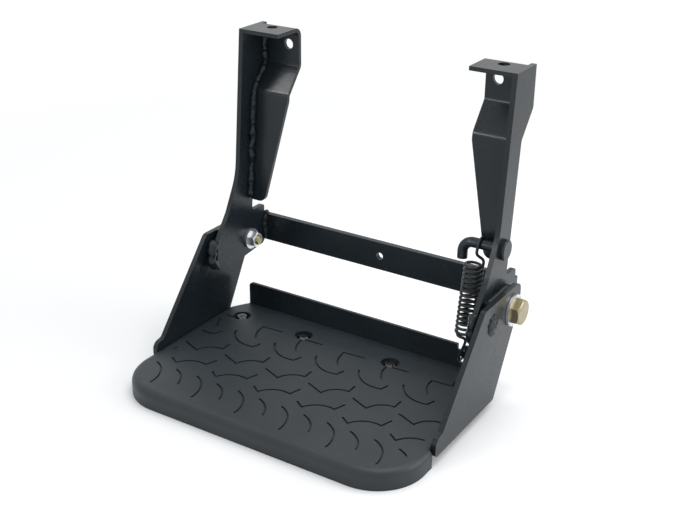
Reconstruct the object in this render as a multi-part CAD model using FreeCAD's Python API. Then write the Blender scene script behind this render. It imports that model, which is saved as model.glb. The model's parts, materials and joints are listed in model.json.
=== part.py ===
import FreeCAD, Part
import math
import os

# Folding side step: two welded uprights with a cross bar carry a tread that folds up about a pivot at each side.
# Millimetres, +Z up, +X to the right, +Y to the rear. The origin is midway between the two top bolt holes,
# on the top face of the flanges.

# Uprights
half_width = 150.0
plate_thickness = 5.0
strip_thickness = 4.0
strip_bend_radius = 5.0
flange_front = 23.0
flange_rear = 17.0
flange_width = 47.0
joggle_top_z = -40.0
joggle_bottom_z = -66.0
joggle_depth = 21.0
lean = 0.09
strip_bottom_z = -181.0
strip_bottom_width = 18.0
strip_weld_corner_radius = 3.0
strip_bottom_radius = 8.0
strip_shoulder_radius = 12.0
taper_start_z = -72.0
top_hole_inset = 24.0
top_hole_diameter = 11.0
back_hole_inset = 34.5
back_hole_z = -18.0
back_hole_diameter = 10.5

# Foot and rear ear of each side plate, about the pivot
pivot_y = -20.0
pivot_z = -226.0
sweep_start_above_pivot = 76.0
knee_forward = 35.0
knee_above_pivot = 41.0
toe_forward = 58.0
toe_setback = 2.0
toe_above_pivot = 13.0
toe_below_pivot = 22.0
toe_radius = 13.0
sweep_radius = 70.0
heel_forward = 17.0
heel_below_pivot = 17.5
heel_radius = 8.0
ear_drop = 3.0
ear_lift = 11.0
ear_corner_radius = 3.0
ear_notch_radius = 4.0
ear_bottom_radius = 6.0

# Cross bar
bar_height = 30.0
bar_thickness = 6.0
bar_top_above_pivot = 20.0
bar_front_y = 6.0
bar_hole_diameter = 8.0

# Pivots
arm_gap = 5.5
running_play = 0.3
shoulder_diameter = 16.0
bolt_diameter = 10.0
bolt_clearance = 0.1
shaft_clearance = 0.05
head_across_flats = 24.0
head_height = 9.0
hexagon_face_share = 0.95
washer_diameter = 31.0
washer_thickness = 2.5
nut_across_flats = 15.0
nut_height = 10.0
nut_flange_diameter = 22.0
nut_flange_height = 2.6
bolt_end_length = 2.5
bolt_end_chamfer = 1.2
bush_wall = 2.5
bush_flange_diameter = 29.0

# Arms
arm_thickness = 5.0
arm_top_above_pivot = 23.0
arm_rear_of_pivot = 17.0
arm_top_front_of_pivot = 60.0
arm_corner_radius = 8.0
arm_heel_y = -50.0
arm_toe_y = -166.0
arm_toe_height = 17.0
arm_toe_length = 12.0
arm_toe_rise = 2.0
arm_toe_radius = 6.0
arm_bottom_radius = 4.0
arm_flange_thickness = 5.0
arm_flange_front_of_pivot = 44.0
arm_flange_rear_of_pivot = 12.0
lug_length = 14.0
lug_height = 11.0
lug_front_of_pivot = 44.0
lug_bottom_radius = 3.0
lug_top_radius = 1.0
stop_clearance = 0.3

# Tray and tread mat
mat_top_z = -299.5
mat_thickness = 6.0
tray_thickness = 3.5
upstand_y = -28.0
upstand_height = 25.0
upstand_end_inset = 13.5
upstand_thickness = 3.0
upstand_corner_radius = 4.0
tray_nose_length = 59.0
tray_front_inset = 2.5
front_corner_radius = 43.0
tray_rim_drop = 11.0
mat_notch_length = 22.0
mat_notch_radius = 3.0
mat_step_gap = 2.0
lip_thickness = 5.5
lip_drop = 19.0
lip_round = 7.0
side_clearance = 0.3

# Anti-slip relief of the mat: strokes repeat along X, their points run back from the upstand
tread_pitch = 50.0
groove_width = 2.0
groove_depth = 1.5
tread_margin = 7.0

# Mat fixings
screw_outer_inset = 24.5
screw_inner_x = 51.5
screw_setback = 29.0
screw_diameter = 6.0
screw_hole_clearance = 0.2
screw_head_diameter = 14.5
screw_head_height = 2.8
screw_head_chamfer = 2.2
screw_recess_diameter = 18.5
screw_recess_depth = 3.0
mat_washer_diameter = 12.0
mat_washer_thickness = 1.6
mat_nut_across_flats = 10.0
mat_nut_height = 5.0
screw_end_length = 2.0

# Spring and its rod
rod_diameter = 10.0
rod_y = -27.0
rod_above_pivot = 62.0
rod_hole_clearance = 0.1
rod_leg_inset = 36.0
rod_leg_drop = 18.0
rod_bend_radius = 11.0
rod_collar_diameter = 14.0
rod_collar_length = 4.0
rod_head_diameter = 20.0
rod_head_height = 4.6
spring_inset = 23.5
spring_outer_diameter = 22.0
spring_wire = 3.2
spring_turns = 14
spring_body_length = 71.0
spring_top_below_rod = 22.0
hook_clearance = 0.3
hook_hole_diameter = 7.0
hook_hole_below_upstand_top = 16.0
hook_inset = 31.0
hook_notch_width = 8.0
hook_notch_depth = 6.0
hook_tail = 4.0

# Places that several pieces share
plate_inner_x = half_width - plate_thickness
flange_inner_x = half_width - flange_width
top_hole_x = half_width - top_hole_inset
back_hole_x = half_width - back_hole_inset
arm_inner_x = half_width + arm_gap
arm_outer_x = arm_inner_x + arm_thickness
upstand_half_length = arm_inner_x - upstand_end_inset
tray_front_half_width = arm_inner_x - tray_front_inset
screw_outer_x = arm_inner_x - screw_outer_inset
rod_leg_x = plate_inner_x - rod_leg_inset
spring_x = plate_inner_x - spring_inset
hook_x = plate_inner_x - hook_inset
washer_inner_x = arm_outer_x + running_play
head_inner_x = washer_inner_x + washer_thickness
bar_top_z = pivot_z + bar_top_above_pivot
bar_bottom_z = bar_top_z - bar_height
tray_top_z = mat_top_z - mat_thickness
tray_bottom_z = tray_top_z - tray_thickness
tray_front_y = arm_toe_y - tray_nose_length
tread_step_y = arm_toe_y - mat_step_gap
upstand_top_z = mat_top_z + upstand_height
upstand_rear_y = upstand_y + upstand_thickness
screw_y = upstand_y - screw_setback
rod_z = pivot_z + rod_above_pivot
hook_hole_z = upstand_top_z - hook_hole_below_upstand_top
overlap = 1.0
tiny = 1e-6


def vec(x, y, z):
    return FreeCAD.Vector(x, y, z)


def rounded_wire(corners):
    """Closed outline through corners (point, radius); a radius of 0 keeps the corner sharp."""
    edges = []
    count = len(corners)
    starts = []
    ends = []
    mids = []
    for i, (point, radius) in enumerate(corners):
        before = corners[i - 1][0]
        after = corners[(i + 1) % count][0]
        to_before = (before - point).normalize()
        to_after = (after - point).normalize()
        if radius <= 0:
            starts.append(point)
            ends.append(point)
            mids.append(None)
            continue
        half = to_before.getAngle(to_after) / 2
        setback = radius / math.tan(half)
        middle = (to_before + to_after).normalize()
        centre = point + middle * (radius / math.sin(half))
        starts.append(point + to_before * setback)
        ends.append(point + to_after * setback)
        mids.append(centre - middle * radius)
    for i in range(count):
        if mids[i] is not None:
            edges.append(Part.Arc(starts[i], mids[i], ends[i]).toShape())
        following = starts[(i + 1) % count]
        if ends[i].distanceToPoint(following) > tiny:
            edges.append(Part.LineSegment(ends[i], following).toShape())
    return Part.Wire(edges)


def side_profile(corners, x_from, x_to):
    """Prism of an outline of (y, z, radius) corners between two places along X."""
    wire = rounded_wire([(vec(x_from, y, z), radius) for y, z, radius in corners])
    return Part.Face(wire).extrude(vec(x_to - x_from, 0, 0))


def plan_profile(corners, z_from, z_to):
    """Prism of an outline of (x, y, radius) corners between two heights."""
    wire = rounded_wire([(vec(x, y, z_from), radius) for x, y, radius in corners])
    return Part.Face(wire).extrude(vec(0, 0, z_to - z_from))


def rod_x(diameter, x_from, x_to, y, z):
    return Part.makeCylinder(diameter / 2, x_to - x_from, vec(x_from, y, z), vec(1, 0, 0))


def rod_zed(diameter, z_from, z_to, x, y):
    return Part.makeCylinder(diameter / 2, z_to - z_from, vec(x, y, z_from), vec(0, 0, 1))


def hexagon_x(across_flats, x_from, x_to, y, z):
    """Hexagonal prism along X, with its outer corners turned down at the x_to end."""
    radius = across_flats / math.sqrt(3)
    points = []
    for i in range(7):
        angle = math.radians(60 * i + 30)
        points.append(vec(x_from, y + radius * math.cos(angle), z + radius * math.sin(angle)))
    prism = Part.Face(Part.makePolygon(points)).extrude(vec(x_to - x_from, 0, 0))
    direction = 1 if x_to > x_from else -1
    length = abs(x_to - x_from)
    cone = Part.makeCone(radius + length, across_flats / 2 * hexagon_face_share, length,
                         vec(x_from, y, z), vec(direction, 0, 0))
    return prism.common(cone)


def mirrored(shape):
    return shape.mirror(vec(0, 0, 0), vec(1, 0, 0))


def both_sides(name, shape):
    return {"right_" + name: shape, "left_" + name: mirrored(shape)}


def rear_edge_y(z):
    """Rear edge of the upright below the joggle."""
    return flange_rear - joggle_depth + lean * (z - joggle_bottom_z)


def front_edge_y(z):
    """Front edge of the upright above the foot."""
    return -flange_front + lean * z


def side_plate():
    """Upright with its foot in front and an ear behind, whose rear edge carries the cross bar."""
    sweep_z = pivot_z + sweep_start_above_pivot
    ear_top = bar_top_z + ear_lift
    corners = [
        (-flange_front, 0, 0),
        (flange_rear, 0, 0),
        (flange_rear, joggle_top_z, strip_bend_radius),
        (flange_rear - joggle_depth, joggle_bottom_z, strip_bend_radius),
        (rear_edge_y(ear_top), ear_top, ear_notch_radius),
        (bar_front_y, ear_top, ear_corner_radius),
        (bar_front_y, bar_bottom_z - ear_drop, ear_bottom_radius),
        (pivot_y - heel_forward, pivot_z - heel_below_pivot, heel_radius),
        (pivot_y - toe_forward, pivot_z - toe_below_pivot, toe_radius),
        (pivot_y - toe_forward + toe_setback, pivot_z + toe_above_pivot, toe_radius / 2),
        (pivot_y - knee_forward, pivot_z + knee_above_pivot, sweep_radius / 2),
        (front_edge_y(sweep_z), sweep_z, sweep_radius),
    ]
    plate = side_profile(corners, plate_inner_x, half_width)
    pivot_hole = rod_x(bolt_diameter + 2 * bolt_clearance, plate_inner_x - 1, half_width + 1, pivot_y, pivot_z)
    rod_hole = rod_x(rod_diameter + 2 * rod_hole_clearance, plate_inner_x - 1, half_width + 1, rod_y, rod_z)
    return plate.cut(pivot_hole), rod_hole


def back_plate():
    """Bent strip: top flange, bolt face, joggle and leaning tail, welded to the inner face of the side plate."""
    t = strip_thickness
    inner = strip_bend_radius
    outer = strip_bend_radius + t
    tail_low = strip_bottom_z - overlap
    slope = math.atan2(joggle_depth, joggle_top_z - joggle_bottom_z)
    upper_shift = t * math.tan(slope / 2)
    tail_turn = slope - math.atan(lean)
    lower_shift = t * math.tan(tail_turn / 2)
    rear = [
        (-flange_front, 0, 0),
        (flange_rear, 0, outer),
        (flange_rear, joggle_top_z, outer),
        (flange_rear - joggle_depth, joggle_bottom_z, inner),
        (rear_edge_y(tail_low), tail_low, 0),
    ]
    front = [
        (rear_edge_y(tail_low) - t, tail_low, 0),
        (flange_rear - joggle_depth - t, joggle_bottom_z + lower_shift, outer),
        (flange_rear - t, joggle_top_z + upper_shift, inner),
        (flange_rear - t, -t, inner),
        (-flange_front, -t, 0),
    ]
    strip = side_profile(rear + front, flange_inner_x, plate_inner_x)
    bottom_x = plate_inner_x - strip_bottom_width
    view_y = -flange_front - joggle_depth - overlap
    front_view = [
        (vec(flange_inner_x - overlap, view_y, overlap), 0),
        (vec(plate_inner_x, view_y, overlap), 0),
        (vec(plate_inner_x, view_y, strip_bottom_z), strip_weld_corner_radius),
        (vec(bottom_x, view_y, strip_bottom_z), strip_bottom_radius),
        (vec(flange_inner_x, view_y, taper_start_z), strip_shoulder_radius),
        (vec(flange_inner_x - overlap, view_y, joggle_top_z), 0),
    ]
    outline = Part.Face(rounded_wire(front_view)).extrude(vec(0, flange_rear + overlap - view_y, 0))
    strip = strip.common(outline)
    top_hole = rod_zed(top_hole_diameter, -t - 1, 1, top_hole_x, 0)
    back_hole = Part.makeCylinder(back_hole_diameter / 2, t + 2, vec(back_hole_x, flange_rear - t - 1, back_hole_z),
                                  vec(0, 1, 0))
    return strip.cut(top_hole.fuse(back_hole))


def cross_bar():
    """Flat bar welded across the rear edges of the two uprights."""
    bar = Part.makeBox(2 * half_width, bar_thickness, bar_height, vec(-half_width, bar_front_y, bar_bottom_z))
    hole = Part.makeCylinder(bar_hole_diameter / 2, bar_thickness + 2,
                             vec(0, bar_front_y - 1, (bar_top_z + bar_bottom_z) / 2), vec(0, 1, 0))
    return bar.cut(hole)


def pivot_bolt():
    """Shoulder bolt: hexagon head outside the arm, shoulder for the bush, threaded end inside the upright."""
    end_x = plate_inner_x - nut_height - bolt_end_length
    head = hexagon_x(head_across_flats, head_inner_x, head_inner_x + head_height, pivot_y, pivot_z)
    shoulder = rod_x(shoulder_diameter, half_width, head_inner_x, pivot_y, pivot_z)
    shank = rod_x(bolt_diameter, end_x + bolt_end_chamfer, half_width, pivot_y, pivot_z)
    tip = Part.makeCone(bolt_diameter / 2 - bolt_end_chamfer, bolt_diameter / 2, bolt_end_chamfer,
                        vec(end_x, pivot_y, pivot_z), vec(1, 0, 0))
    return head.fuse([shoulder, shank, tip]).removeSplitter()


def pivot_washer():
    ring = rod_x(washer_diameter, washer_inner_x, head_inner_x, pivot_y, pivot_z)
    bore = rod_x(shoulder_diameter + 2 * bolt_clearance, washer_inner_x - 1, head_inner_x + 1, pivot_y, pivot_z)
    return ring.cut(bore)


def pivot_nut():
    inner_x = plate_inner_x - nut_height
    flange_x = plate_inner_x - nut_flange_height
    body = hexagon_x(nut_across_flats, plate_inner_x, inner_x, pivot_y, pivot_z)
    flange = rod_x(nut_flange_diameter, flange_x, plate_inner_x, pivot_y, pivot_z)
    bore = rod_x(bolt_diameter + 2 * shaft_clearance, inner_x - 1, plate_inner_x + 1, pivot_y, pivot_z)
    return body.fuse(flange).cut(bore)


def pivot_bush():
    """Flanged bush pressed into the arm, running on the shoulder; its flange keeps the arm off the upright."""
    barrel = rod_x(shoulder_diameter + 2 * bush_wall, arm_inner_x, arm_outer_x, pivot_y, pivot_z)
    flange = rod_x(bush_flange_diameter, half_width + running_play, arm_inner_x, pivot_y, pivot_z)
    bore = rod_x(shoulder_diameter + 2 * shaft_clearance, half_width - 1, arm_outer_x + 1, pivot_y, pivot_z)
    return barrel.fuse(flange).cut(bore)


def arm():
    """Side plate of the tread, with its top edge folded inwards over the stop lug."""
    top = pivot_z + arm_top_above_pivot
    rear = pivot_y + arm_rear_of_pivot
    corners = [
        (rear, top, arm_corner_radius),
        (rear, pivot_z, arm_corner_radius),
        (arm_heel_y, tray_bottom_z, arm_bottom_radius),
        (arm_toe_y, tray_bottom_z, arm_bottom_radius),
        (arm_toe_y, tray_bottom_z + arm_toe_height, arm_corner_radius),
        (arm_toe_y + arm_toe_length, tray_bottom_z + arm_toe_height + arm_toe_rise, arm_toe_radius),
        (pivot_y - arm_top_front_of_pivot, top, arm_corner_radius),
    ]
    plate = side_profile(corners, arm_inner_x, arm_outer_x)
    flange_front_y = pivot_y - arm_flange_front_of_pivot
    flange_rear_y = pivot_y + arm_flange_rear_of_pivot - arm_corner_radius
    flange = Part.makeBox(arm_gap - stop_clearance, flange_rear_y - flange_front_y, arm_flange_thickness,
                          vec(half_width + stop_clearance, flange_front_y, top - arm_flange_thickness))
    bore = rod_x(shoulder_diameter + 2 * bush_wall, half_width, arm_outer_x + 1, pivot_y, pivot_z)
    return plate.fuse(flange).removeSplitter().cut(bore)


def stop_lug():
    """Block welded on the foot of the upright; the fold of the arm lands on it when the step is down."""
    top = pivot_z + arm_top_above_pivot - arm_flange_thickness - stop_clearance
    front = pivot_y - lug_front_of_pivot
    corners = [
        (front, top - lug_height, lug_bottom_radius),
        (front + lug_length, top - lug_height, lug_bottom_radius),
        (front + lug_length, top, lug_top_radius),
        (front, top, lug_top_radius),
    ]
    return side_profile(corners, half_width, arm_inner_x - stop_clearance)


def tread_outline(half_width_front, front_y, rear_y, half_width_rear, corner):
    """Plan of the tread: narrow between the arms, full width and rounded ahead of them, rear corners cut off."""
    right = [
        (upstand_half_length, rear_y, 0),
        (half_width_rear, rear_y - mat_notch_length, mat_notch_radius),
        (half_width_rear, tread_step_y, 0),
        (half_width_front, tread_step_y, 0),
        (half_width_front, front_y, corner),
    ]
    left = [(-x, y, radius) for x, y, radius in reversed(right)]
    return right + left


def screw_places():
    return [(x, screw_y) for x in (-screw_outer_x, -screw_inner_x, screw_inner_x, screw_outer_x)]


def tray():
    """Folded sheet: base, rear upstand with the hook hole, and a rim turned down round the front."""
    outline = tread_outline(tray_front_half_width, tray_front_y, upstand_rear_y, arm_inner_x, front_corner_radius)
    base = plan_profile(outline, tray_bottom_z, tray_top_z)
    rim_outer = plan_profile(rim_corners(tray_front_half_width, tray_front_y, front_corner_radius),
                             tray_top_z - tray_rim_drop, tray_top_z)
    rim_inner = plan_profile(rim_corners(tray_front_half_width - tray_thickness, tray_front_y + tray_thickness,
                                         front_corner_radius - tray_thickness),
                             tray_top_z - tray_rim_drop - 1, tray_bottom_z)
    upstand_corners = [
        (vec(-upstand_half_length, upstand_y, tray_bottom_z), 0),
        (vec(upstand_half_length, upstand_y, tray_bottom_z), 0),
        (vec(upstand_half_length, upstand_y, upstand_top_z), upstand_corner_radius),
        (vec(-upstand_half_length, upstand_y, upstand_top_z), upstand_corner_radius),
    ]
    upstand = Part.Face(rounded_wire(upstand_corners)).extrude(vec(0, upstand_thickness, 0))
    sheet = base.fuse([rim_outer.cut(rim_inner), upstand]).removeSplitter()
    notch = Part.makeBox(hook_notch_width, upstand_thickness + 2, hook_notch_depth + 1,
                         vec(hook_x - hook_notch_width / 2, upstand_y - 1, upstand_top_z - hook_notch_depth))
    hook_hole = Part.makeCylinder(hook_hole_diameter / 2, upstand_thickness + 2,
                                  vec(hook_x, upstand_y - 1, hook_hole_z), vec(0, 1, 0))
    tools = [hook_hole]
    for x, y in screw_places():
        tools.append(rod_zed(screw_diameter + 2 * screw_hole_clearance, tray_bottom_z - 1, tray_top_z + 1, x, y))
    return sheet.cut(notch).cut(tools)


def rim_corners(half_front, front_y, corner):
    """Plan of the front of the tread ahead of the arms."""
    return [
        (half_front, tread_step_y, 0),
        (half_front, front_y, corner),
        (-half_front, front_y, corner),
        (-half_front, tread_step_y, 0),
    ]


def tread_mat():
    """Rubber tread: lies on the tray between the arms and turns down over the front rim."""
    half_front = tray_front_half_width + lip_thickness
    front_y = tray_front_y - lip_thickness
    corner = front_corner_radius + lip_thickness
    top = plan_profile(tread_outline(half_front, front_y, upstand_y, arm_inner_x - side_clearance, corner),
                       tray_top_z, mat_top_z)
    lip_outer = plan_profile(rim_corners(half_front, front_y, corner), mat_top_z - lip_drop, mat_top_z)
    lip_inner = plan_profile(rim_corners(tray_front_half_width + side_clearance, tray_front_y - side_clearance,
                                         front_corner_radius + side_clearance),
                             mat_top_z - lip_drop - 1, tray_top_z)
    mat = top.fuse(lip_outer.cut(lip_inner)).removeSplitter()
    front_edges = []
    for edge in mat.Edges:
        middle = edge.CenterOfMass
        if abs(middle.z - mat_top_z) < tiny and middle.y < tread_step_y - tiny:
            front_edges.append(edge)
    mat = mat.makeFillet(lip_round, front_edges)
    tools = []
    for x, y in screw_places():
        tools.append(rod_zed(screw_recess_diameter, mat_top_z - screw_recess_depth, mat_top_z + 1, x, y))
        tools.append(rod_zed(screw_diameter + 2 * screw_hole_clearance, tray_top_z - 1, mat_top_z, x, y))
    return mat.cut(tools).cut(tread_grooves())


def stroke(start, steps, shift_x, z):
    """Wire from a start point through steps: (end) is a straight run, (middle, end) an arc."""
    def place(point):
        return vec(point[0] + shift_x, upstand_y - point[1], z)

    edges = []
    here = start
    for step in steps:
        if len(step) == 2:
            edges.append(Part.Arc(place(here), place(step[0]), place(step[1])).toShape())
        else:
            edges.append(Part.LineSegment(place(here), place(step[0])).toShape())
        here = step[-1]
    return Part.Wire(edges)


def tread_strokes():
    """One repeat of the relief, from the rear row to the front row, as (across, forward of the upstand)."""
    hook = ((10.5, 61), [((4.5, 50), (2.9, 37)), ((25.6, 35.5),)])
    crescent = ((-16, 59), [((-1, 75.5), (19.5, 77.4)), ((22, 69),)])
    rear_wing = ((6.2, 106), [((25.4, 114),), ((34, 101.5), (46.4, 98)), ((46.4, 87),)])
    front_wing = ((15.9, 139), [((24.4, 145),), ((36.4, 133), (51.8, 131.7)), ((55.8, 120),)])
    small_arc = ((33.9, 154.7), [((46.3, 163), (52.6, 175.2))])
    large_arc = ((58.9, 154), [((74.3, 167.4), (78.3, 186.4))])
    return [hook, crescent, rear_wing, front_wing, small_arc, large_arc]


def tread_grooves():
    """Grooves of every repeat, kept a margin inside the edge of the mat."""
    floor_z = mat_top_z - groove_depth
    repeats = int(tray_front_half_width / tread_pitch) + 2
    grooves = []
    for start, steps in tread_strokes():
        for i in range(-repeats, repeats):
            line = stroke(start, steps, i * tread_pitch, floor_z)
            outline = line.makeOffset2D(groove_width / 2, 0, False, False)
            grooves.append(Part.Face(outline).extrude(vec(0, 0, groove_depth + 1)))
    inside = tray_front_half_width - tread_margin
    front = tray_front_y + tread_margin / 2
    rear = upstand_y - tread_margin
    field = [
        (inside, rear, tread_margin),
        (inside, front, front_corner_radius),
        (-inside, front, front_corner_radius),
        (-inside, rear, tread_margin),
    ]
    return Part.makeCompound(grooves).common(plan_profile(field, floor_z - 1, mat_top_z + 2)).Solids


def mat_screws():
    seat_z = mat_top_z - screw_recess_depth
    end_z = tray_bottom_z - mat_washer_thickness - mat_nut_height - screw_end_length
    screws = []
    for x, y in screw_places():
        head = Part.makeCone(screw_head_diameter / 2, screw_head_diameter / 2 - screw_head_chamfer, screw_head_height,
                             vec(x, y, seat_z), vec(0, 0, 1))
        shank = rod_zed(screw_diameter, end_z, seat_z, x, y)
        screws.append(head.fuse(shank).removeSplitter())
    return Part.makeCompound(screws)


def mat_washers():
    washers = []
    for x, y in screw_places():
        ring = rod_zed(mat_washer_diameter, tray_bottom_z - mat_washer_thickness, tray_bottom_z, x, y)
        bore = rod_zed(screw_diameter + 2 * screw_hole_clearance, tray_bottom_z - mat_washer_thickness - 1,
                       tray_bottom_z + 1, x, y)
        washers.append(ring.cut(bore))
    return Part.makeCompound(washers)


def mat_nuts():
    top_z = tray_bottom_z - mat_washer_thickness
    radius = mat_nut_across_flats / math.sqrt(3)
    nuts = []
    for x, y in screw_places():
        points = []
        for i in range(7):
            angle = math.radians(60 * i)
            points.append(vec(x + radius * math.cos(angle), y + radius * math.sin(angle), top_z - mat_nut_height))
        prism = Part.Face(Part.makePolygon(points)).extrude(vec(0, 0, mat_nut_height))
        bore = rod_zed(screw_diameter + 2 * shaft_clearance, top_z - mat_nut_height - 1, top_z + 1, x, y)
        nuts.append(prism.cut(bore))
    return Part.makeCompound(nuts)


def spring_rod():
    """Bent rod through the right upright: head outside, collar inside, turned-down end that keeps the spring on."""
    bend = rod_bend_radius
    bend_start = vec(rod_leg_x + bend, rod_y, rod_z)
    bend_end = vec(rod_leg_x, rod_y, rod_z - bend)
    bend_mid = vec(rod_leg_x + bend * (1 - math.sqrt(0.5)), rod_y, rod_z - bend * (1 - math.sqrt(0.5)))
    path = Part.Wire([
        Part.LineSegment(vec(half_width, rod_y, rod_z), bend_start).toShape(),
        Part.Arc(bend_start, bend_mid, bend_end).toShape(),
        Part.LineSegment(bend_end, vec(rod_leg_x, rod_y, rod_z - rod_leg_drop)).toShape(),
    ])
    section = Part.Wire(Part.makeCircle(rod_diameter / 2, vec(half_width, rod_y, rod_z), vec(1, 0, 0)))
    bar = path.makePipeShell([section], True, True)
    collar = rod_x(rod_collar_diameter, plate_inner_x - rod_collar_length, plate_inner_x, rod_y, rod_z)
    head = rod_x(rod_head_diameter, half_width, half_width + rod_head_height, rod_y, rod_z)
    rim = [edge for edge in head.Edges if edge.BoundBox.XMin > half_width + 0.1 and edge.Closed]
    head = head.makeFillet(rod_head_height / 3, rim)
    return bar.fuse([collar, head]).removeSplitter()


def wire_tube(path):
    """Spring wire along a path of straight runs and arcs in a plane across X."""
    start = path.OrderedVertexes[0].Point
    direction = path.OrderedEdges[0].tangentAt(path.OrderedEdges[0].FirstParameter)
    section = Part.Wire(Part.makeCircle(spring_wire / 2, start, direction))
    return path.makePipeShell([section], True, True)


def spring():
    """Tension spring: close coil with a hook over the rod and a hook through the upstand."""
    coil_radius = (spring_outer_diameter - spring_wire) / 2
    top_z = rod_z - spring_top_below_rod
    bottom_z = top_z - spring_body_length
    pitch = spring_body_length / spring_turns
    helix = Part.makeHelix(pitch, spring_body_length, coil_radius)
    points = []
    for i in range(7):
        angle = math.radians(60 * i)
        points.append(vec(coil_radius + spring_wire / 2 * math.cos(angle), 0, spring_wire / 2 * math.sin(angle)))
    coil = helix.makePipeShell([Part.makePolygon(points)], True, True)
    coil.rotate(vec(0, 0, 0), vec(0, 0, 1), -90)
    coil.translate(vec(spring_x, rod_y, bottom_z))
    hook_radius = rod_diameter / 2 + spring_wire / 2 + hook_clearance
    front_y = rod_y - coil_radius
    upper = Part.Wire([
        Part.LineSegment(vec(spring_x, front_y, top_z), vec(spring_x, rod_y - hook_radius, rod_z)).toShape(),
        Part.Arc(vec(spring_x, rod_y - hook_radius, rod_z), vec(spring_x, rod_y, rod_z + hook_radius),
                 vec(spring_x, rod_y + hook_radius, rod_z)).toShape(),
        Part.LineSegment(vec(spring_x, rod_y + hook_radius, rod_z),
                         vec(spring_x, rod_y + hook_radius, rod_z - hook_tail)).toShape(),
    ])
    sheet_y = (upstand_y + upstand_rear_y) / 2
    lower_radius = upstand_thickness / 2 + spring_wire / 2 + hook_hole_diameter / 2 - hook_clearance
    drop = rod_z - hook_hole_z
    turn_z = rod_z - math.hypot(drop, spring_x - hook_x) + lower_radius
    lower = Part.Wire([
        Part.LineSegment(vec(spring_x, front_y, bottom_z), vec(spring_x, sheet_y - lower_radius, turn_z)).toShape(),
        Part.Arc(vec(spring_x, sheet_y - lower_radius, turn_z), vec(spring_x, sheet_y, turn_z - lower_radius),
                 vec(spring_x, sheet_y + lower_radius, turn_z)).toShape(),
        Part.LineSegment(vec(spring_x, sheet_y + lower_radius, turn_z),
                         vec(spring_x, sheet_y + lower_radius, turn_z + hook_tail)).toShape(),
    ])
    whole = coil.fuse([wire_tube(upper), wire_tube(lower)])
    whole.rotate(vec(spring_x, rod_y, rod_z), vec(0, 1, 0), math.degrees(math.atan2(spring_x - hook_x, drop)))
    return whole


def build():
    plate, rod_hole = side_plate()
    nodes = {
        "right_side_plate": plate.cut(rod_hole),
        "left_side_plate": mirrored(plate),
        "cross_bar": cross_bar(),
        "tray": tray(),
        "tread_mat": tread_mat(),
        "mat_screws": mat_screws(),
        "mat_washers": mat_washers(),
        "mat_nuts": mat_nuts(),
        "spring_rod": spring_rod(),
        "spring": spring(),
    }
    nodes.update(both_sides("back_plate", back_plate()))
    nodes.update(both_sides("pivot_bolt", pivot_bolt()))
    nodes.update(both_sides("pivot_washer", pivot_washer()))
    nodes.update(both_sides("pivot_nut", pivot_nut()))
    nodes.update(both_sides("pivot_bush", pivot_bush()))
    nodes.update(both_sides("arm", arm()))
    nodes.update(both_sides("stop_lug", stop_lug()))
    os.makedirs("parts", exist_ok=True)
    for name, shape in nodes.items():
        shape.exportStep("parts/" + name + ".step")
        print(name, len(shape.Solids), round(shape.Volume, 1), shape.isValid())


build()
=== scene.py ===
import json
import math
import bpy
import bmesh
from mathutils import Matrix, Vector, noise


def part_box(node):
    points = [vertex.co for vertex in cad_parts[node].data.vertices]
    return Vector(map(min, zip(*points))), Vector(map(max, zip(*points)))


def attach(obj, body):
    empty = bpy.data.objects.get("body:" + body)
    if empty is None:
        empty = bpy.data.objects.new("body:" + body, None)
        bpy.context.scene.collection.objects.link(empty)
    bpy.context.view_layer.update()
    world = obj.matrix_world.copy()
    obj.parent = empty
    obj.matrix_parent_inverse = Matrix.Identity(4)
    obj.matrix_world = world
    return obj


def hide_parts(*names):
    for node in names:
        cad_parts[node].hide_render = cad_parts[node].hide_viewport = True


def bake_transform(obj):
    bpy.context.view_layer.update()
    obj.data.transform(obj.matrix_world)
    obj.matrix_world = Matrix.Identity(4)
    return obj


# A folding side step in a plain studio. Named sizes and places of the step are in millimetres,
# those of the studio in metres, and angles are in degrees.
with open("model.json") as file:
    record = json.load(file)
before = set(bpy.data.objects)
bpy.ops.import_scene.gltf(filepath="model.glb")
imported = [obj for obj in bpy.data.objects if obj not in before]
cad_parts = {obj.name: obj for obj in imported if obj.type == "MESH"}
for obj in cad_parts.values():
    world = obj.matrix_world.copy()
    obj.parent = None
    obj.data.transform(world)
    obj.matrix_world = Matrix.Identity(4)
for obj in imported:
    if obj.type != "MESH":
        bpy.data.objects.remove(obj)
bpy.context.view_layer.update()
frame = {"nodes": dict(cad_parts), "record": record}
MM = 0.001


def lowest(node, axis):
    """Where a CAD node begins along an axis, in millimetres to a tenth."""
    return round(getattr(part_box(node)[0], axis) / MM, 1)


def highest(node, axis):
    """Where a CAD node ends along an axis, in millimetres to a tenth."""
    return round(getattr(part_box(node)[1], axis) / MM, 1)


# Camera at the photograph's viewing angle
CAMERA_PLACE = Vector((527.4, -906.7, 258.5)) * MM
CAMERA_AZIMUTH = 32.36
CAMERA_ELEVATION = 24.43
CAMERA_ROLL = 0.44
CAMERA_LENS = 60.2
SENSOR_WIDTH = 36.0
NEAREST_SEEN = 0.01

# Studio
FLOOR_Z = lowest("tread_mat", "z") * MM
FLOOR_HALF_SIZE = 8.0
FLOOR_COLOUR = (0.93, 0.93, 0.93, 1)
FLOOR_ROUGHNESS = 0.9
WHITE_STARTS = 0.35
WHITE_FULL = 1.1
WHITE = (1, 1, 1, 1)
SKY_COLOUR = (0.9, 0.93, 0.96, 1)
SKY_STRENGTH = 0.76
WIDE_SPREAD = 180.0
NARROW_SPREAD = 36.0

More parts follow.
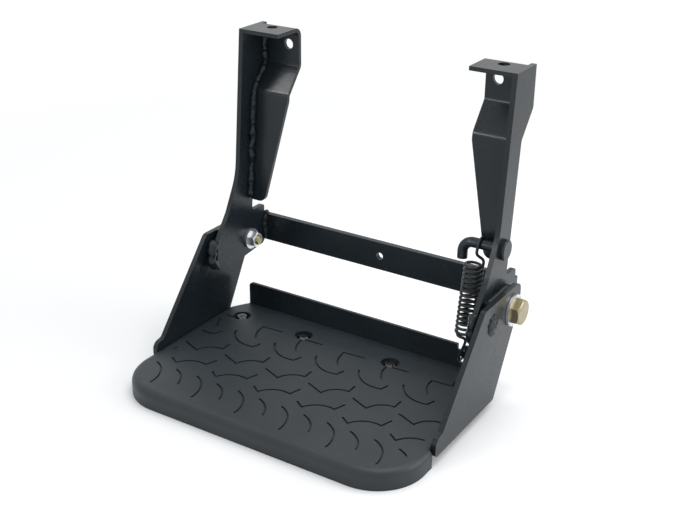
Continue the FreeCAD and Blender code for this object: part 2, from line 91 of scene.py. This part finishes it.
# Faces of the right side's solids, read from the frame; the tray ends at the inner face of the arm
PLATE_INNER_X = lowest("right_side_plate", "x")
PLATE_OUTER_X = highest("right_side_plate", "x")
STRIP_BOTTOM_Z = lowest("right_back_plate", "z")
BAR_FRONT_Y = lowest("cross_bar", "y")
BAR_REAR_Y = highest("cross_bar", "y")
BAR_TOP_Z = highest("cross_bar", "z")
BAR_BOTTOM_Z = lowest("cross_bar", "z")
LUG_FRONT_Y = lowest("right_stop_lug", "y")
LUG_REAR_Y = highest("right_stop_lug", "y")
LUG_TOP_Z = highest("right_stop_lug", "z")
LUG_BOTTOM_Z = lowest("right_stop_lug", "z")
ARM_TOP_Z = highest("right_arm", "z")
ARM_OUTER_X = highest("right_arm", "x")
ARM_INNER_X = highest("tray", "x")
UPSTAND_REAR_Y = highest("tray", "y")
MAT_TOP_Z = highest("tread_mat", "z")

# Places in the solids that their boxes don't give
STRIP_FRONT_TOP_Y = 13.0
JOGGLE_TOP_Z = -40.0
JOGGLE_BOTTOM_Z = -66.0
STRIP_TAIL_Y = -8.0
TAIL_LEAN = 0.09
UPSTAND_THICKNESS = 3.0
ROD_Y = -27.0
ROD_Z = -164.0
ROD_RADIUS = 5.0
HOOK_HOLE_X = 114.0
HOOK_HOLE_Z = -290.5
GROOVE_DEPTH = 1.5
SCREW_X = (-131.0, -51.5, 51.5, 131.0)
SCREW_Y = -57.0

# Kinds of weld bead: the radius and the length of a ripple, how lumpy it is, where its noise
# starts and the body that carries it
BEADS = {
    "corner": {"radius": 3.7, "ripple": 5.0, "lumps": 1.8, "seed": 1.0, "body": "frame"},
    "bar": {"radius": 4.2, "ripple": 7.0, "lumps": 1.0, "seed": 4.0, "body": "frame"},
    "bar_top": {"radius": 2.6, "ripple": 2.6, "lumps": 1.0, "seed": 5.0, "body": "frame"},
    "toe": {"radius": 4.8, "ripple": 8.0, "lumps": 1.6, "seed": 7.0, "body": "frame"},
    "lug": {"radius": 2.2, "ripple": 2.6, "lumps": 1.0, "seed": 9.0, "body": "frame"},
    "fold": {"radius": 1.9, "ripple": 5.5, "lumps": 1.0, "seed": 14.0, "body": "step"},
    "rod_collar": {"radius": 1.8, "ripple": 2.6, "lumps": 1.0, "seed": 12.0, "body": "frame"},
}

# Shape of every bead, as shares of its radius, and the scales of its noise
BEAD_SIDES = 10
POINTS_PER_RIPPLE = 4
THIN_SHARE = 0.86
RIPPLE_SHARE = 0.2
SWELL_SHARE = 0.28
SWELL_SCALE = 0.11
DRIFT_SHARE = 0.22
DRIFT_SCALE = 0.16
DRIFT_AXIS_SHIFT = 40.0
BEAD_END_SHARE = 0.45

# Where the beads lie
CORNER_WELD_OFF_PLATE = 1.5
CORNER_WELD_OFF_STRIP = 2.3
CORNER_WELD_TOP_Z = -12.0
CORNER_WELD_END_GAP = 5.0
BAR_WELD_OFF_PLATE = 0.4
BAR_WELD_END_GAP = 1.0
BAR_TOP_WELD_END_GAP = 0.5
TOE_WELD_X = 148.0
TOE_WELD_Y = {"left": -82.5, "right": -80.0}
TOE_WELD_PATH = [(6.5, -211.0), (0.5, -218.0), (0.0, -231.0), (5.5, -241.0)]
LUG_WELD_OFF_PLATE = 0.6
LUG_WELD_TOP_GAP = 1.2
FOLD_WELD_X = 153.4
FOLD_WELD_FRONT_GAP = 3.0
FOLD_WELD_REAR_Y = -20.0
ROD_WELD_OFF_PLATE = 0.5
ROD_WELD_REACH = 7.2
ROD_WELD_PIECES = 24

# Plug welds on the outer and inner face of each arm, with their shares and scales of noise
PLUG_Y = -62.0
PLUG_Z = -224.0
PLUG_RADIUS = 11.5
PLUG_HEIGHT = 2.0
INNER_PLUG_Y = -85.0
INNER_PLUG_Z = -237.0
INNER_PLUG_RADIUS = 9.0
INNER_PLUG_HEIGHT = 0.5
PLUG_RINGS = 9
PLUG_SIDES = 36
PLUG_DOME_SHARE = 0.8
PLUG_DOME_POWER = 4
PLUG_RIM_SINK = 0.2
PLUG_RIM_WAVE = 0.12
PLUG_RIM_SCALE = 2.3
PLUG_LUMP_SHARE = 0.6
PLUG_LUMP_SCALE = 0.45
PLUG_LUMP_SHIFT = 3

# Cross recess of the mat screws, drawn as a dark inlay of painted shade
DRIVE_REACH = 2.6
DRIVE_HALF_WIDTH = 0.55
DRIVE_PROUD = 0.07
DRIVE_DEPTH = 0.85
DRIVE_FIRST_TURN = 20
DRIVE_TURN_STEP = 37

# Drawn spring, which stands for the spring node; entry and exit are places near the ends of the
# coil, as shares of its radius
SPRING_X = 123.5
WIRE_RADIUS = 1.45
WIRE_SIDES = 12
COIL_RADIUS = 8.8
COIL_TOP_Z = -185.0
COIL_LENGTH = 74.5
COIL_BOTTOM_Z = COIL_TOP_Z - COIL_LENGTH
COIL_TURNS = 14.5
POINTS_PER_TURN = 28
HOOK_CLEARANCE = 0.3
TOP_HOOK_RADIUS = ROD_RADIUS + WIRE_RADIUS + HOOK_CLEARANCE
TOP_HOOK_SHIFT = 4.0
TOP_HOOK_X = SPRING_X + TOP_HOOK_SHIFT
BOTTOM_HOOK_RADIUS = 6.3
BOTTOM_HOOK_Y = UPSTAND_REAR_Y - UPSTAND_THICKNESS / 2
HOOK_PIECES = 12
HOOK_TAIL = 4.0
LEAD_PIECES = 6
SHANK_BACK = 0.5
SHANK_LENGTH = 8.0
COIL_ENTRY = (0.75, 0.45)
COIL_ENTRY_RISE = 4.0
COIL_EXIT = (-0.4, -0.8)
COIL_EXIT_DROP = 2.5
BOTTOM_BEND_SHIFT = 4.5
BOTTOM_BEND_X = SPRING_X + BOTTOM_BEND_SHIFT
BOTTOM_BEND_FORWARD = 0.5
BOTTOM_BEND_DROP = 5.5

# Looks of the solids
EDGE_ROUND = {"rubber": 0.9, "black_coat": 0.8}
FINE_EDGE_ROUND = 0.45
EDGE_SEGMENTS = 2
EDGE_ANGLE = 40
COAT_SPECULAR = 0.28
WELD_SPECULAR = 0.18
RUBBER_SPECULAR = 0.42
# Painted shade: colour of the level floors of the mat's grooves, and how level such a floor must be
GROOVE_SHADE_COLOUR = (0.006, 0.007, 0.008, 1)
LEVEL_NORMAL = 0.96


def camera():
    """Camera that sees the step as the photograph does."""
    data = bpy.data.cameras.new("camera")
    data.sensor_fit = "HORIZONTAL"
    data.sensor_width = SENSOR_WIDTH
    data.lens = CAMERA_LENS
    data.clip_start = NEAREST_SEEN
    obj = bpy.data.objects.new("camera", data)
    turn = Matrix.Rotation(math.radians(CAMERA_AZIMUTH), 4, "Z")
    tilt = Matrix.Rotation(math.radians(90 - CAMERA_ELEVATION), 4, "X")
    roll = Matrix.Rotation(math.radians(CAMERA_ROLL), 4, "Z")
    obj.matrix_world = Matrix.Translation(CAMERA_PLACE) @ turn @ tilt @ roll
    bpy.context.scene.collection.objects.link(obj)
    bpy.context.scene.camera = obj


def area_light(name, place, target, size, power, spread=WIDE_SPREAD):
    """Soft rectangular light at a place, turned to a target."""
    data = bpy.data.lights.new(name, "AREA")
    data.shape = "RECTANGLE"
    data.size, data.size_y = size
    data.energy = power
    data.spread = math.radians(spread)
    obj = bpy.data.objects.new(name, data)
    obj.location = place
    obj.rotation_euler = (Vector(target) - Vector(place)).to_track_quat("-Z", "Y").to_euler()
    bpy.context.scene.collection.objects.link(obj)


def lights():
    """Key light from above, one from the right, and two small ones for the bends of the back plates."""
    area_light("key", place=(0.3, 0.2, 1.7), target=(0.0, -0.1, -0.2), size=(1.8, 1.4), power=20)
    area_light("right", place=(1.3, 0.5, 0.3), target=(0.15, -0.05, -0.2), size=(0.8, 0.8), power=8)
    area_light("left_joggle", place=(-0.563, -0.514, 0.551), target=(-0.125, 0.003, -0.053),
               size=(0.2, 0.2), power=0.13, spread=NARROW_SPREAD)
    area_light("right_bends", place=(-0.362, -0.83, 0.211), target=(0.125, 0.0, -0.053),
               size=(0.22, 0.2), power=0.12, spread=NARROW_SPREAD)


def new_material(name):
    """Material with its nodes, links and shader."""
    material = bpy.data.materials.new(name)
    material.use_nodes = True
    nodes = material.node_tree.nodes
    return material, nodes, material.node_tree.links, nodes["Principled BSDF"]


def noise_texture(nodes, links, scale, detail=3.0, roughness=0.55):
    """Noise over the object's own coordinates, from zero to one."""
    coordinates = nodes.new("ShaderNodeTexCoord")
    texture = nodes.new("ShaderNodeTexNoise")
    texture.inputs["Scale"].default_value = scale
    texture.inputs["Detail"].default_value = detail
    texture.inputs["Roughness"].default_value = roughness
    links.new(coordinates.outputs["Object"], texture.inputs["Vector"])
    return texture.outputs["Fac"]


def ramp(nodes, links, source, low, high, dark, light):
    """Colour that goes from dark to light as the source goes from low to high."""
    colours = nodes.new("ShaderNodeValToRGB")
    colours.color_ramp.elements[0].position = low
    colours.color_ramp.elements[1].position = high
    colours.color_ramp.elements[0].color = (*dark, 1)
    colours.color_ramp.elements[1].color = (*light, 1)
    links.new(source, colours.inputs["Fac"])
    return colours.outputs["Color"]


def value_range(nodes, links, source, low, high):
    """Value from low to high as the source goes from zero to one."""
    mapped = nodes.new("ShaderNodeMapRange")
    mapped.inputs["To Min"].default_value = low
    mapped.inputs["To Max"].default_value = high
    links.new(source, mapped.inputs["Value"])
    return mapped.outputs["Result"]


def bump(nodes, links, height, distance, strength, shader):
    """Fine relief on the shader, with its distance in metres."""
    node = nodes.new("ShaderNodeBump")
    node.inputs["Distance"].default_value = distance
    node.inputs["Strength"].default_value = strength
    links.new(height, node.inputs["Height"])
    links.new(node.outputs["Normal"], shader.inputs["Normal"])


def powder_coat(name, dark, light, rough, peel_scale, specular=COAT_SPECULAR):
    """Satin powder coat: orange peel, faint clouding and a sheen that varies over the surface."""
    material, nodes, links, shader = new_material(name)
    cloud = noise_texture(nodes, links, scale=22.0, detail=4.0)
    colour = ramp(nodes, links, cloud, low=0.3, high=0.72, dark=dark, light=light)
    links.new(colour, shader.inputs["Base Color"])
    smear = noise_texture(nodes, links, scale=60.0, detail=5.0, roughness=0.6)
    links.new(value_range(nodes, links, smear, *rough), shader.inputs["Roughness"])
    peel = noise_texture(nodes, links, scale=peel_scale, detail=2.0, roughness=0.45)
    bump(nodes, links, peel, distance=0.00012, strength=0.35, shader=shader)
    shader.inputs["Specular IOR Level"].default_value = specular
    return material


def plated_material(name, dark, light, limits, rough, cloud_scale):
    """Plated or bare metal with clouded colour and a fine grain."""
    material, nodes, links, shader = new_material(name)
    shader.inputs["Metallic"].default_value = 1.0
    cloud = noise_texture(nodes, links, scale=cloud_scale)
    colour = ramp(nodes, links, cloud, *limits, dark=dark, light=light)
    links.new(colour, shader.inputs["Base Color"])
    grain = noise_texture(nodes, links, scale=700.0)
    links.new(value_range(nodes, links, grain, *rough), shader.inputs["Roughness"])
    bump(nodes, links, grain, distance=0.00003, strength=0.4, shader=shader)
    return material


def painted_groove_shade_mask(nodes, links):
    """Mask of the painted shade: one on level rubber that lies below the top of the mat, as in the
    grooves, else zero.
    """
    below = nodes.new("ShaderNodeMath")
    below.operation = "LESS_THAN"
    below.inputs[1].default_value = (MAT_TOP_Z - GROOVE_DEPTH / 2) * MM
    level = nodes.new("ShaderNodeMath")
    level.operation = "GREATER_THAN"
    level.inputs[1].default_value = LEVEL_NORMAL
    both = nodes.new("ShaderNodeMath")
    both.operation = "MULTIPLY"
    coordinates = nodes.new("ShaderNodeTexCoord")
    for vector, node in ((coordinates.outputs["Object"], below), (coordinates.outputs["Normal"], level)):
        parts = nodes.new("ShaderNodeSeparateXYZ")
        links.new(vector, parts.inputs["Vector"])
        links.new(parts.outputs["Z"], node.inputs[0])
    links.new(below.outputs["Value"], both.inputs[0])
    links.new(level.outputs["Value"], both.inputs[1])
    return both.outputs["Value"]


def rubber_material():
    """Moulded rubber with a fine grain, clouded, and with painted shade that darkens the level floors of
    the grooves.
    """
    material, nodes, links, shader = new_material("moulded_rubber")
    cloud = noise_texture(nodes, links, scale=14.0, detail=5.0, roughness=0.6)
    top = ramp(nodes, links, cloud, low=0.3, high=0.75,
               dark=(0.0145, 0.0195, 0.0235), light=(0.0225, 0.0303, 0.036))
    # Painted shade: the level floors of the grooves take the dark groove colour
    groove_shade = nodes.new("ShaderNodeMix")
    groove_shade.data_type = "RGBA"
    links.new(painted_groove_shade_mask(nodes, links), groove_shade.inputs["Factor"])
    links.new(top, groove_shade.inputs["A"])
    groove_shade.inputs["B"].default_value = GROOVE_SHADE_COLOUR
    links.new(groove_shade.outputs["Result"], shader.inputs["Base Color"])
    smear = noise_texture(nodes, links, scale=120.0, detail=4.0, roughness=0.6)
    links.new(value_range(nodes, links, smear, low=0.36, high=0.54), shader.inputs["Roughness"])
    grain = noise_texture(nodes, links, scale=1500.0, detail=3.0, roughness=0.6)
    bump(nodes, links, grain, distance=0.00015, strength=0.4, shader=shader)
    shader.inputs["Specular IOR Level"].default_value = RUBBER_SPECULAR
    return material


def slot_materials():
    """Material of each slot in the record."""
    return {
        "black_coat": powder_coat(
            "black_powder_coat", dark=(0.0085, 0.0128, 0.0162), light=(0.0125, 0.0184, 0.0228),
            rough=(0.2, 0.33), peel_scale=900.0),
        "spring_black": powder_coat(
            "black_spring_coat", dark=(0.015, 0.019, 0.022), light=(0.024, 0.029, 0.033),
            rough=(0.24, 0.36), peel_scale=1400.0),
        "rubber": rubber_material(),
        "yellow_zinc": plated_material(
            "yellow_zinc", dark=(0.31, 0.285, 0.15), light=(0.41, 0.335, 0.235),
            limits=(0.35, 0.65), rough=(0.24, 0.4), cloud_scale=70.0),
        "silver_zinc": plated_material(
            "silver_zinc", dark=(0.6, 0.62, 0.65), light=(0.76, 0.78, 0.8),
            limits=(0.3, 0.7), rough=(0.3, 0.46), cloud_scale=160.0),
        "dark_steel": plated_material(
            "dark_steel", dark=(0.03, 0.032, 0.035), light=(0.13, 0.135, 0.145),
            limits=(0.35, 0.65), rough=(0.16, 0.32), cloud_scale=260.0),
        "bush_bronze": plated_material(
            "bush_bronze", dark=(0.36, 0.24, 0.12), light=(0.48, 0.34, 0.18),
            limits=(0.3, 0.7), rough=(0.3, 0.48), cloud_scale=200.0),
    }


def dress_nodes(materials):
    """Material and softened edges for each CAD node."""
    for part in frame["record"]["subparts"]:
        obj = frame["nodes"][part["node"]]
        slot = part["material_slot"]
        obj.data.materials.clear()
        obj.data.materials.append(materials[slot])
        edge = obj.modifiers.new("soft_edges", "BEVEL")
        edge.width = EDGE_ROUND.get(slot, FINE_EDGE_ROUND) * MM
        edge.segments = EDGE_SEGMENTS
        edge.limit_method = "ANGLE"
        edge.angle_limit = math.radians(EDGE_ANGLE)
        edge.harden_normals = True


def mesh_object(name, bm, material, body):
    """Smooth piece made of a mesh, which rides on a body where one is named."""
    mesh = bpy.data.meshes.new(name)
    bmesh.ops.recalc_face_normals(bm, faces=bm.faces)
    bm.to_mesh(mesh)
    bm.free()
    for polygon in mesh.polygons:
        polygon.use_smooth = True
    mesh.materials.append(material)
    obj = bpy.data.objects.new(name, mesh)
    bpy.context.scene.collection.objects.link(obj)
    if body:
        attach(obj, body)
    return obj


def tube(bm, points, radii, sides):
    """Closed tube along points, carried without twist, with a radius at each point."""
    count = len(points)
    tangents = []
    for i in range(count):
        ahead = points[min(i + 1, count - 1)]
        behind = points[max(i - 1, 0)]
        tangents.append((ahead - behind).normalized())
    side = tangents[0].orthogonal().normalized()
    rings = []
    for i in range(count):
        side = (side - tangents[i] * side.dot(tangents[i])).normalized()
        across = tangents[i].cross(side)
        ring = []
        for k in range(sides):
            angle = 2 * math.pi * k / sides
            out = side * math.cos(angle) + across * math.sin(angle)
            ring.append(bm.verts.new(points[i] + out * radii[i]))
        rings.append(ring)
    for lower, upper in zip(rings, rings[1:]):
        for k in range(sides):
            following = (k + 1) % sides
            bm.faces.new((lower[k], lower[following], upper[following], upper[k]))
    bm.faces.new(list(reversed(rings[0])))
    bm.faces.new(rings[-1])


def along(corners, step):
    """Points at about even steps along straight runs between corners."""
    points = []
    for start, end in zip(corners, corners[1:]):
        pieces = max(2, round((end - start).length / step))
        for i in range(pieces):
            points.append(start.lerp(end, i / pieces))
    points.append(corners[-1])
    return points


def bead_drift(point, seed):
    """Sideways wander of a bead at a point, from a noise of its own for each axis."""
    shifts = [Vector((seed, DRIFT_AXIS_SHIFT * axis, seed)) for axis in range(3)]
    return Vector([noise.noise(point * DRIFT_SCALE + shift) for shift in shifts])


def weld_bead(name, corners, kind, material, sign=0):
    """Lumpy weld bead: a tube whose size swells and shrinks with each ripple of the pool."""
    look = BEADS[kind]
    radius = look["radius"]
    lumps = look["lumps"]
    seed = look["seed"] + sign
    step = look["ripple"] / POINTS_PER_RIPPLE
    points = []
    radii = []
    for i, point in enumerate(along([Vector(corner) for corner in corners], step)):
        phase = (i * step / look["ripple"]) % 1.0
        swell = noise.noise(point * SWELL_SCALE + Vector((seed, seed, seed)))
        points.append((point + bead_drift(point, seed) * radius * DRIFT_SHARE * lumps) * MM)
        radii.append(radius * (THIN_SHARE + RIPPLE_SHARE * phase + SWELL_SHARE * lumps * swell) * MM)
    radii[0] *= BEAD_END_SHARE
    radii[-1] *= BEAD_END_SHARE
    bm = bmesh.new()
    tube(bm, points, radii, BEAD_SIDES)
    mesh_object(name, bm, material, look["body"])


def bead_corners(side):
    """Corners of each weld bead of a side, with X as on the right."""
    corner_x = PLATE_INNER_X - CORNER_WELD_OFF_PLATE
    corner_bottom_z = STRIP_BOTTOM_Z + CORNER_WELD_END_GAP
    tail_bottom_y = STRIP_TAIL_Y - TAIL_LEAN * (JOGGLE_BOTTOM_Z - corner_bottom_z)
    strip_front = [
        (STRIP_FRONT_TOP_Y, CORNER_WELD_TOP_Z),
        (STRIP_FRONT_TOP_Y, JOGGLE_TOP_Z),
        (STRIP_TAIL_Y, JOGGLE_BOTTOM_Z),
        (tail_bottom_y, corner_bottom_z),
    ]
    bar_x = PLATE_INNER_X - BAR_WELD_OFF_PLATE
    lug_x = PLATE_OUTER_X + LUG_WELD_OFF_PLATE
    return {
        "corner": [(corner_x, y - CORNER_WELD_OFF_STRIP, z) for y, z in strip_front],
        "bar": [
            (bar_x, BAR_FRONT_Y, BAR_TOP_Z - BAR_WELD_END_GAP),
            (bar_x, BAR_FRONT_Y, BAR_BOTTOM_Z + BAR_WELD_END_GAP),
        ],
        "bar_top": [
            (bar_x, BAR_FRONT_Y + BAR_TOP_WELD_END_GAP, BAR_TOP_Z),
            (bar_x, BAR_REAR_Y - BAR_TOP_WELD_END_GAP, BAR_TOP_Z),
        ],
        "toe": [(TOE_WELD_X, TOE_WELD_Y[side] + back, z) for back, z in TOE_WELD_PATH],
        "lug": [
            (lug_x, LUG_FRONT_Y, LUG_TOP_Z - LUG_WELD_TOP_GAP),
            (lug_x, LUG_FRONT_Y, LUG_BOTTOM_Z),
            (lug_x, LUG_REAR_Y, LUG_BOTTOM_Z),
        ],
        "fold": [
            (FOLD_WELD_X, LUG_FRONT_Y + FOLD_WELD_FRONT_GAP, ARM_TOP_Z),
            (FOLD_WELD_X, FOLD_WELD_REAR_Y, ARM_TOP_Z),
        ],
    }


def plug_weld(name, sign, face_x, y, z, radius, height, material):
    """Domed puddle of weld on a face of an arm that looks along X, with a wavy rim and ripples."""
    bm = bmesh.new()
    middle = bm.verts.new(Vector((face_x + sign * height, y, z)) * MM)
    previous = None
    for ring in range(1, PLUG_RINGS + 1):
        share = ring / PLUG_RINGS
        dome = PLUG_DOME_SHARE - PLUG_DOME_SHARE * share ** PLUG_DOME_POWER
        current = []
        for k in range(PLUG_SIDES):
            angle = 2 * math.pi * k / PLUG_SIDES
            out = Vector((0, math.cos(angle), math.sin(angle)))
            wave = noise.noise(out * PLUG_RIM_SCALE + Vector((sign, 0, 0)))
            reach = radius * share * (1 + PLUG_RIM_WAVE * wave)
            ripple = noise.noise(out * reach * PLUG_LUMP_SCALE + Vector((sign * PLUG_LUMP_SHIFT, 0, 0)))
            lump = PLUG_LUMP_SHARE * height * ripple
            rise = height * dome + (lump if ring < PLUG_RINGS else -PLUG_RIM_SINK)
            place = Vector((face_x + sign * rise, y, z)) + out * reach
            current.append(bm.verts.new(place * MM))
        for k in range(PLUG_SIDES):
            following = (k + 1) % PLUG_SIDES
            if previous is None:
                bm.faces.new((middle, current[k], current[following]))
            else:
                bm.faces.new((previous[k], current[k], current[following], previous[following]))
        previous = current
    bm.faces.new(previous)
    mesh_object(name, bm, material, "step")


def side_welds(side, sign, material, plug_shade_material):
    """Weld beads of one upright and its arm, and the arm's two plug welds in a darker coat of painted
    shade.
    """
    for kind, corners in bead_corners(side).items():
        places = [(sign * x, y, z) for x, y, z in corners]
        weld_bead("%s_%s_weld" % (side, kind), places, kind, material, sign)
    plug_weld(side + "_plug_weld", sign, sign * ARM_OUTER_X, PLUG_Y, PLUG_Z,
              PLUG_RADIUS, PLUG_HEIGHT, plug_shade_material)
    plug_weld(side + "_inner_plug_weld", -sign, sign * ARM_INNER_X, INNER_PLUG_Y, INNER_PLUG_Z,
              INNER_PLUG_RADIUS, INNER_PLUG_HEIGHT, plug_shade_material)


def rod_weld(material):
    """Ring of weld round the collar of the spring rod, on the inner face of the right upright."""
    ring = []
    for i in range(ROD_WELD_PIECES + 1):
        angle = 2 * math.pi * i / ROD_WELD_PIECES
        y = ROD_Y + ROD_WELD_REACH * math.cos(angle)
        z = ROD_Z + ROD_WELD_REACH * math.sin(angle)
        ring.append((PLATE_INNER_X - ROD_WELD_OFF_PLATE, y, z))
    weld_bead("rod_collar_weld", ring, "rod_collar", material)


def drive_outline():
    """Outline of a cross recess: the end of one arm and the notch beside it, turned four times."""
    reach = DRIVE_REACH * MM
    half = DRIVE_HALF_WIDTH * MM
    quarter = [(half, reach), (-half, reach), (-half, half)]
    outline = []
    for turn in range(4):
        outline.extend(quarter)
        quarter = [(-b, a) for a, b in quarter]
    return outline


def screw_recess_shades(material):
    """Painted shade of the cross recess of each mat screw: a dark inlay in the top of its head."""
    head_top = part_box("mat_screws")[1].z
    outline = drive_outline()
    count = len(outline)
    for i, x in enumerate(SCREW_X):
        bm = bmesh.new()
        place = Vector((x * MM, SCREW_Y * MM, 0))
        turn = Matrix.Rotation(math.radians(DRIVE_FIRST_TURN + DRIVE_TURN_STEP * i), 3, "Z")
        rings = []
        for z in (head_top + DRIVE_PROUD * MM, head_top - DRIVE_DEPTH * MM):
            rings.append([bm.verts.new(place + turn @ Vector((a, b, z))) for a, b in outline])
        upper, lower = rings
        bm.faces.new(upper)
        bm.faces.new(list(reversed(lower)))
        for k in range(count):
            following = (k + 1) % count
            bm.faces.new((upper[k], lower[k], lower[following], upper[following]))
        mesh_object("screw_recess_shade_%d" % (i + 1), bm, material, "step")


def smooth_path(points):
    """Catmull-Rom curve through points, between the second and the last but one, without these two."""
    path = []
    for before, start, end, after in zip(points, points[1:], points[2:], points[3:]):
        for i in range(LEAD_PIECES):
            t = i / LEAD_PIECES
            square = (2 * before - 5 * start + 4 * end - after) * t ** 2
            cube = (3 * start - before - 3 * end + after) * t ** 3
            path.append(0.5 * (2 * start + (end - before) * t + square + cube))
    return path[1:]


def half_turn(x, y, z, radius, first_angle):
    """Half circle across X about a middle, as a hook of the spring bends."""
    points = []
    for i in range(HOOK_PIECES + 1):
        angle = first_angle + math.pi * i / HOOK_PIECES
        points.append(Vector((x, y + radius * math.cos(angle), z + radius * math.sin(angle))))
    return points


def coil_points():
    """Turns of the coil, from its top to its bottom."""
    steps = round(COIL_TURNS * POINTS_PER_TURN)
    points = []
    for i in range(steps + 1):
        angle = -2 * math.pi * COIL_TURNS * i / steps
        x = SPRING_X + COIL_RADIUS * math.cos(angle)
        y = ROD_Y + COIL_RADIUS * math.sin(angle)
        points.append(Vector((x, y, COIL_TOP_Z - COIL_LENGTH * i / steps)))
    return points


def by_coil(shares, z):
    """Place beside the axis of the coil, with X and Y as shares of its radius."""
    return Vector((SPRING_X + shares[0] * COIL_RADIUS, ROD_Y + shares[1] * COIL_RADIUS, z))


def spring_points():
    """Wire of the spring: hook over the rod, coil and hook through the upstand, leaned to its hole."""
    drop = ROD_Z - HOOK_HOLE_Z
    side = SPRING_X - HOOK_HOLE_X
    coil = coil_points()
    tail = Vector((TOP_HOOK_X, ROD_Y + TOP_HOOK_RADIUS, ROD_Z - HOOK_TAIL))
    top_hook = half_turn(TOP_HOOK_X, ROD_Y, ROD_Z, TOP_HOOK_RADIUS, 0.0)
    lead_in = [
        top_hook[-2],
        top_hook[-1],
        top_hook[-1] + Vector((0, SHANK_BACK, -SHANK_LENGTH)),
        by_coil(COIL_ENTRY, COIL_TOP_Z + COIL_ENTRY_RISE),
        coil[0],
        coil[2],
    ]
    turn_z = ROD_Z - math.hypot(drop, side) + BOTTOM_HOOK_RADIUS
    hook_start = Vector((SPRING_X, BOTTOM_HOOK_Y - BOTTOM_HOOK_RADIUS, turn_z))
    lead_out = [
        coil[-3],
        coil[-1],
        by_coil(COIL_EXIT, COIL_BOTTOM_Z - COIL_EXIT_DROP),
        Vector((BOTTOM_BEND_X, hook_start.y - BOTTOM_BEND_FORWARD, COIL_BOTTOM_Z - BOTTOM_BEND_DROP)),
        hook_start,
        hook_start + Vector((0, 0, -BOTTOM_HOOK_RADIUS)),
    ]
    bottom_hook = half_turn(SPRING_X, BOTTOM_HOOK_Y, turn_z, BOTTOM_HOOK_RADIUS, math.pi)
    end = bottom_hook[-1] + Vector((0, 0, HOOK_TAIL))
    points = [tail] + top_hook + smooth_path(lead_in) + coil + smooth_path(lead_out) + bottom_hook + [end]
    pin = Vector((SPRING_X, ROD_Y, ROD_Z))
    lean = Matrix.Rotation(math.atan2(side, drop), 3, "Y")
    return [(pin + lean @ (point - pin)) * MM for point in points]


def spring(material):
    """Spring as drawn wire in place of the spring node, hooked over the rod of the frame at its top and
    through the upstand of the step at its bottom.
    """
    bm = bmesh.new()
    points = spring_points()
    tube(bm, points, [WIRE_RADIUS * MM] * len(points), WIRE_SIDES)
    obj = mesh_object("spring_wire", bm, material, None)
    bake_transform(obj)
    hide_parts("spring")


def seen_rays(nodes, links):
    """One for rays of the camera and for those that shiny or clear pieces send on, else zero."""
    path = nodes.new("ShaderNodeLightPath")
    seen = path.outputs["Is Camera Ray"]
    for name in ("Is Glossy Ray", "Is Transmission Ray"):
        either = nodes.new("ShaderNodeMath")
        either.operation = "MAXIMUM"
        links.new(seen, either.inputs[0])
        links.new(path.outputs[name], either.inputs[1])
        seen = either.outputs["Value"]
    return seen


def far_floor_white(nodes, links, shader):
    """White backdrop where the floor is far from the object, as the camera and shiny pieces see it."""
    place = nodes.new("ShaderNodeTexCoord")
    distance = nodes.new("ShaderNodeVectorMath")
    distance.operation = "LENGTH"
    links.new(place.outputs["Object"], distance.inputs[0])
    fade = nodes.new("ShaderNodeMapRange")
    fade.inputs["From Min"].default_value = WHITE_STARTS
    fade.inputs["From Max"].default_value = WHITE_FULL
    links.new(distance.outputs["Value"], fade.inputs["Value"])
    share = nodes.new("ShaderNodeMath")
    share.operation = "MULTIPLY"
    links.new(fade.outputs["Result"], share.inputs[0])
    links.new(seen_rays(nodes, links), share.inputs[1])
    white = nodes.new("ShaderNodeEmission")
    mix = nodes.new("ShaderNodeMixShader")
    links.new(share.outputs["Value"], mix.inputs["Fac"])
    links.new(shader.outputs["BSDF"], mix.inputs[1])
    links.new(white.outputs["Emission"], mix.inputs[2])
    links.new(mix.outputs["Shader"], nodes["Material Output"].inputs["Surface"])


def studio_floor():
    """Pale floor under the lowest edge of the mat."""
    mesh = bpy.data.meshes.new("floor")
    signs = ((-1, -1), (1, -1), (1, 1), (-1, 1))
    corners = [(a * FLOOR_HALF_SIZE, b * FLOOR_HALF_SIZE, FLOOR_Z) for a, b in signs]
    mesh.from_pydata(corners, [], [(0, 1, 2, 3)])
    floor = bpy.data.objects.new("floor", mesh)
    bpy.context.scene.collection.objects.link(floor)
    material, nodes, links, shader = new_material("pale_floor")
    shader.inputs["Base Color"].default_value = FLOOR_COLOUR
    shader.inputs["Roughness"].default_value = FLOOR_ROUGHNESS
    far_floor_white(nodes, links, shader)
    mesh.materials.append(material)


def studio_sky():
    """Soft light from all round, and white where the camera or a shiny piece sees past the floor."""
    world = bpy.data.worlds.new("studio")
    bpy.context.scene.world = world
    world.use_nodes = True
    nodes = world.node_tree.nodes
    links = world.node_tree.links
    light = nodes["Background"]
    light.inputs["Color"].default_value = SKY_COLOUR
    light.inputs["Strength"].default_value = SKY_STRENGTH
    white = nodes.new("ShaderNodeBackground")
    white.inputs["Color"].default_value = WHITE
    mix = nodes.new("ShaderNodeMixShader")
    links.new(seen_rays(nodes, links), mix.inputs["Fac"])
    links.new(light.outputs["Background"], mix.inputs[1])
    links.new(white.outputs["Background"], mix.inputs[2])
    links.new(mix.outputs["Shader"], nodes["World Output"].inputs["Surface"])


bpy.context.scene.view_settings.view_transform = "Standard"
camera()
studio_floor()
studio_sky()
lights()
materials = slot_materials()
dress_nodes(materials)
# Painted shade: a darker coat with a weaker sheen for the plug welds, so that their lumpy puddles read as
# shaded
weld_shade_coat = powder_coat("weld_shade_coat", dark=(0.006, 0.008, 0.0095), light=(0.011, 0.014, 0.017),
                        rough=(0.26, 0.42), peel_scale=500.0, specular=WELD_SPECULAR)
side_welds("left", -1, materials["black_coat"], weld_shade_coat)
side_welds("right", 1, materials["black_coat"], weld_shade_coat)
rod_weld(materials["black_coat"])
# Painted shade: dark inlays in the crosses of the screw heads
screw_recess_shades(materials["spring_black"])
spring(materials["spring_black"])
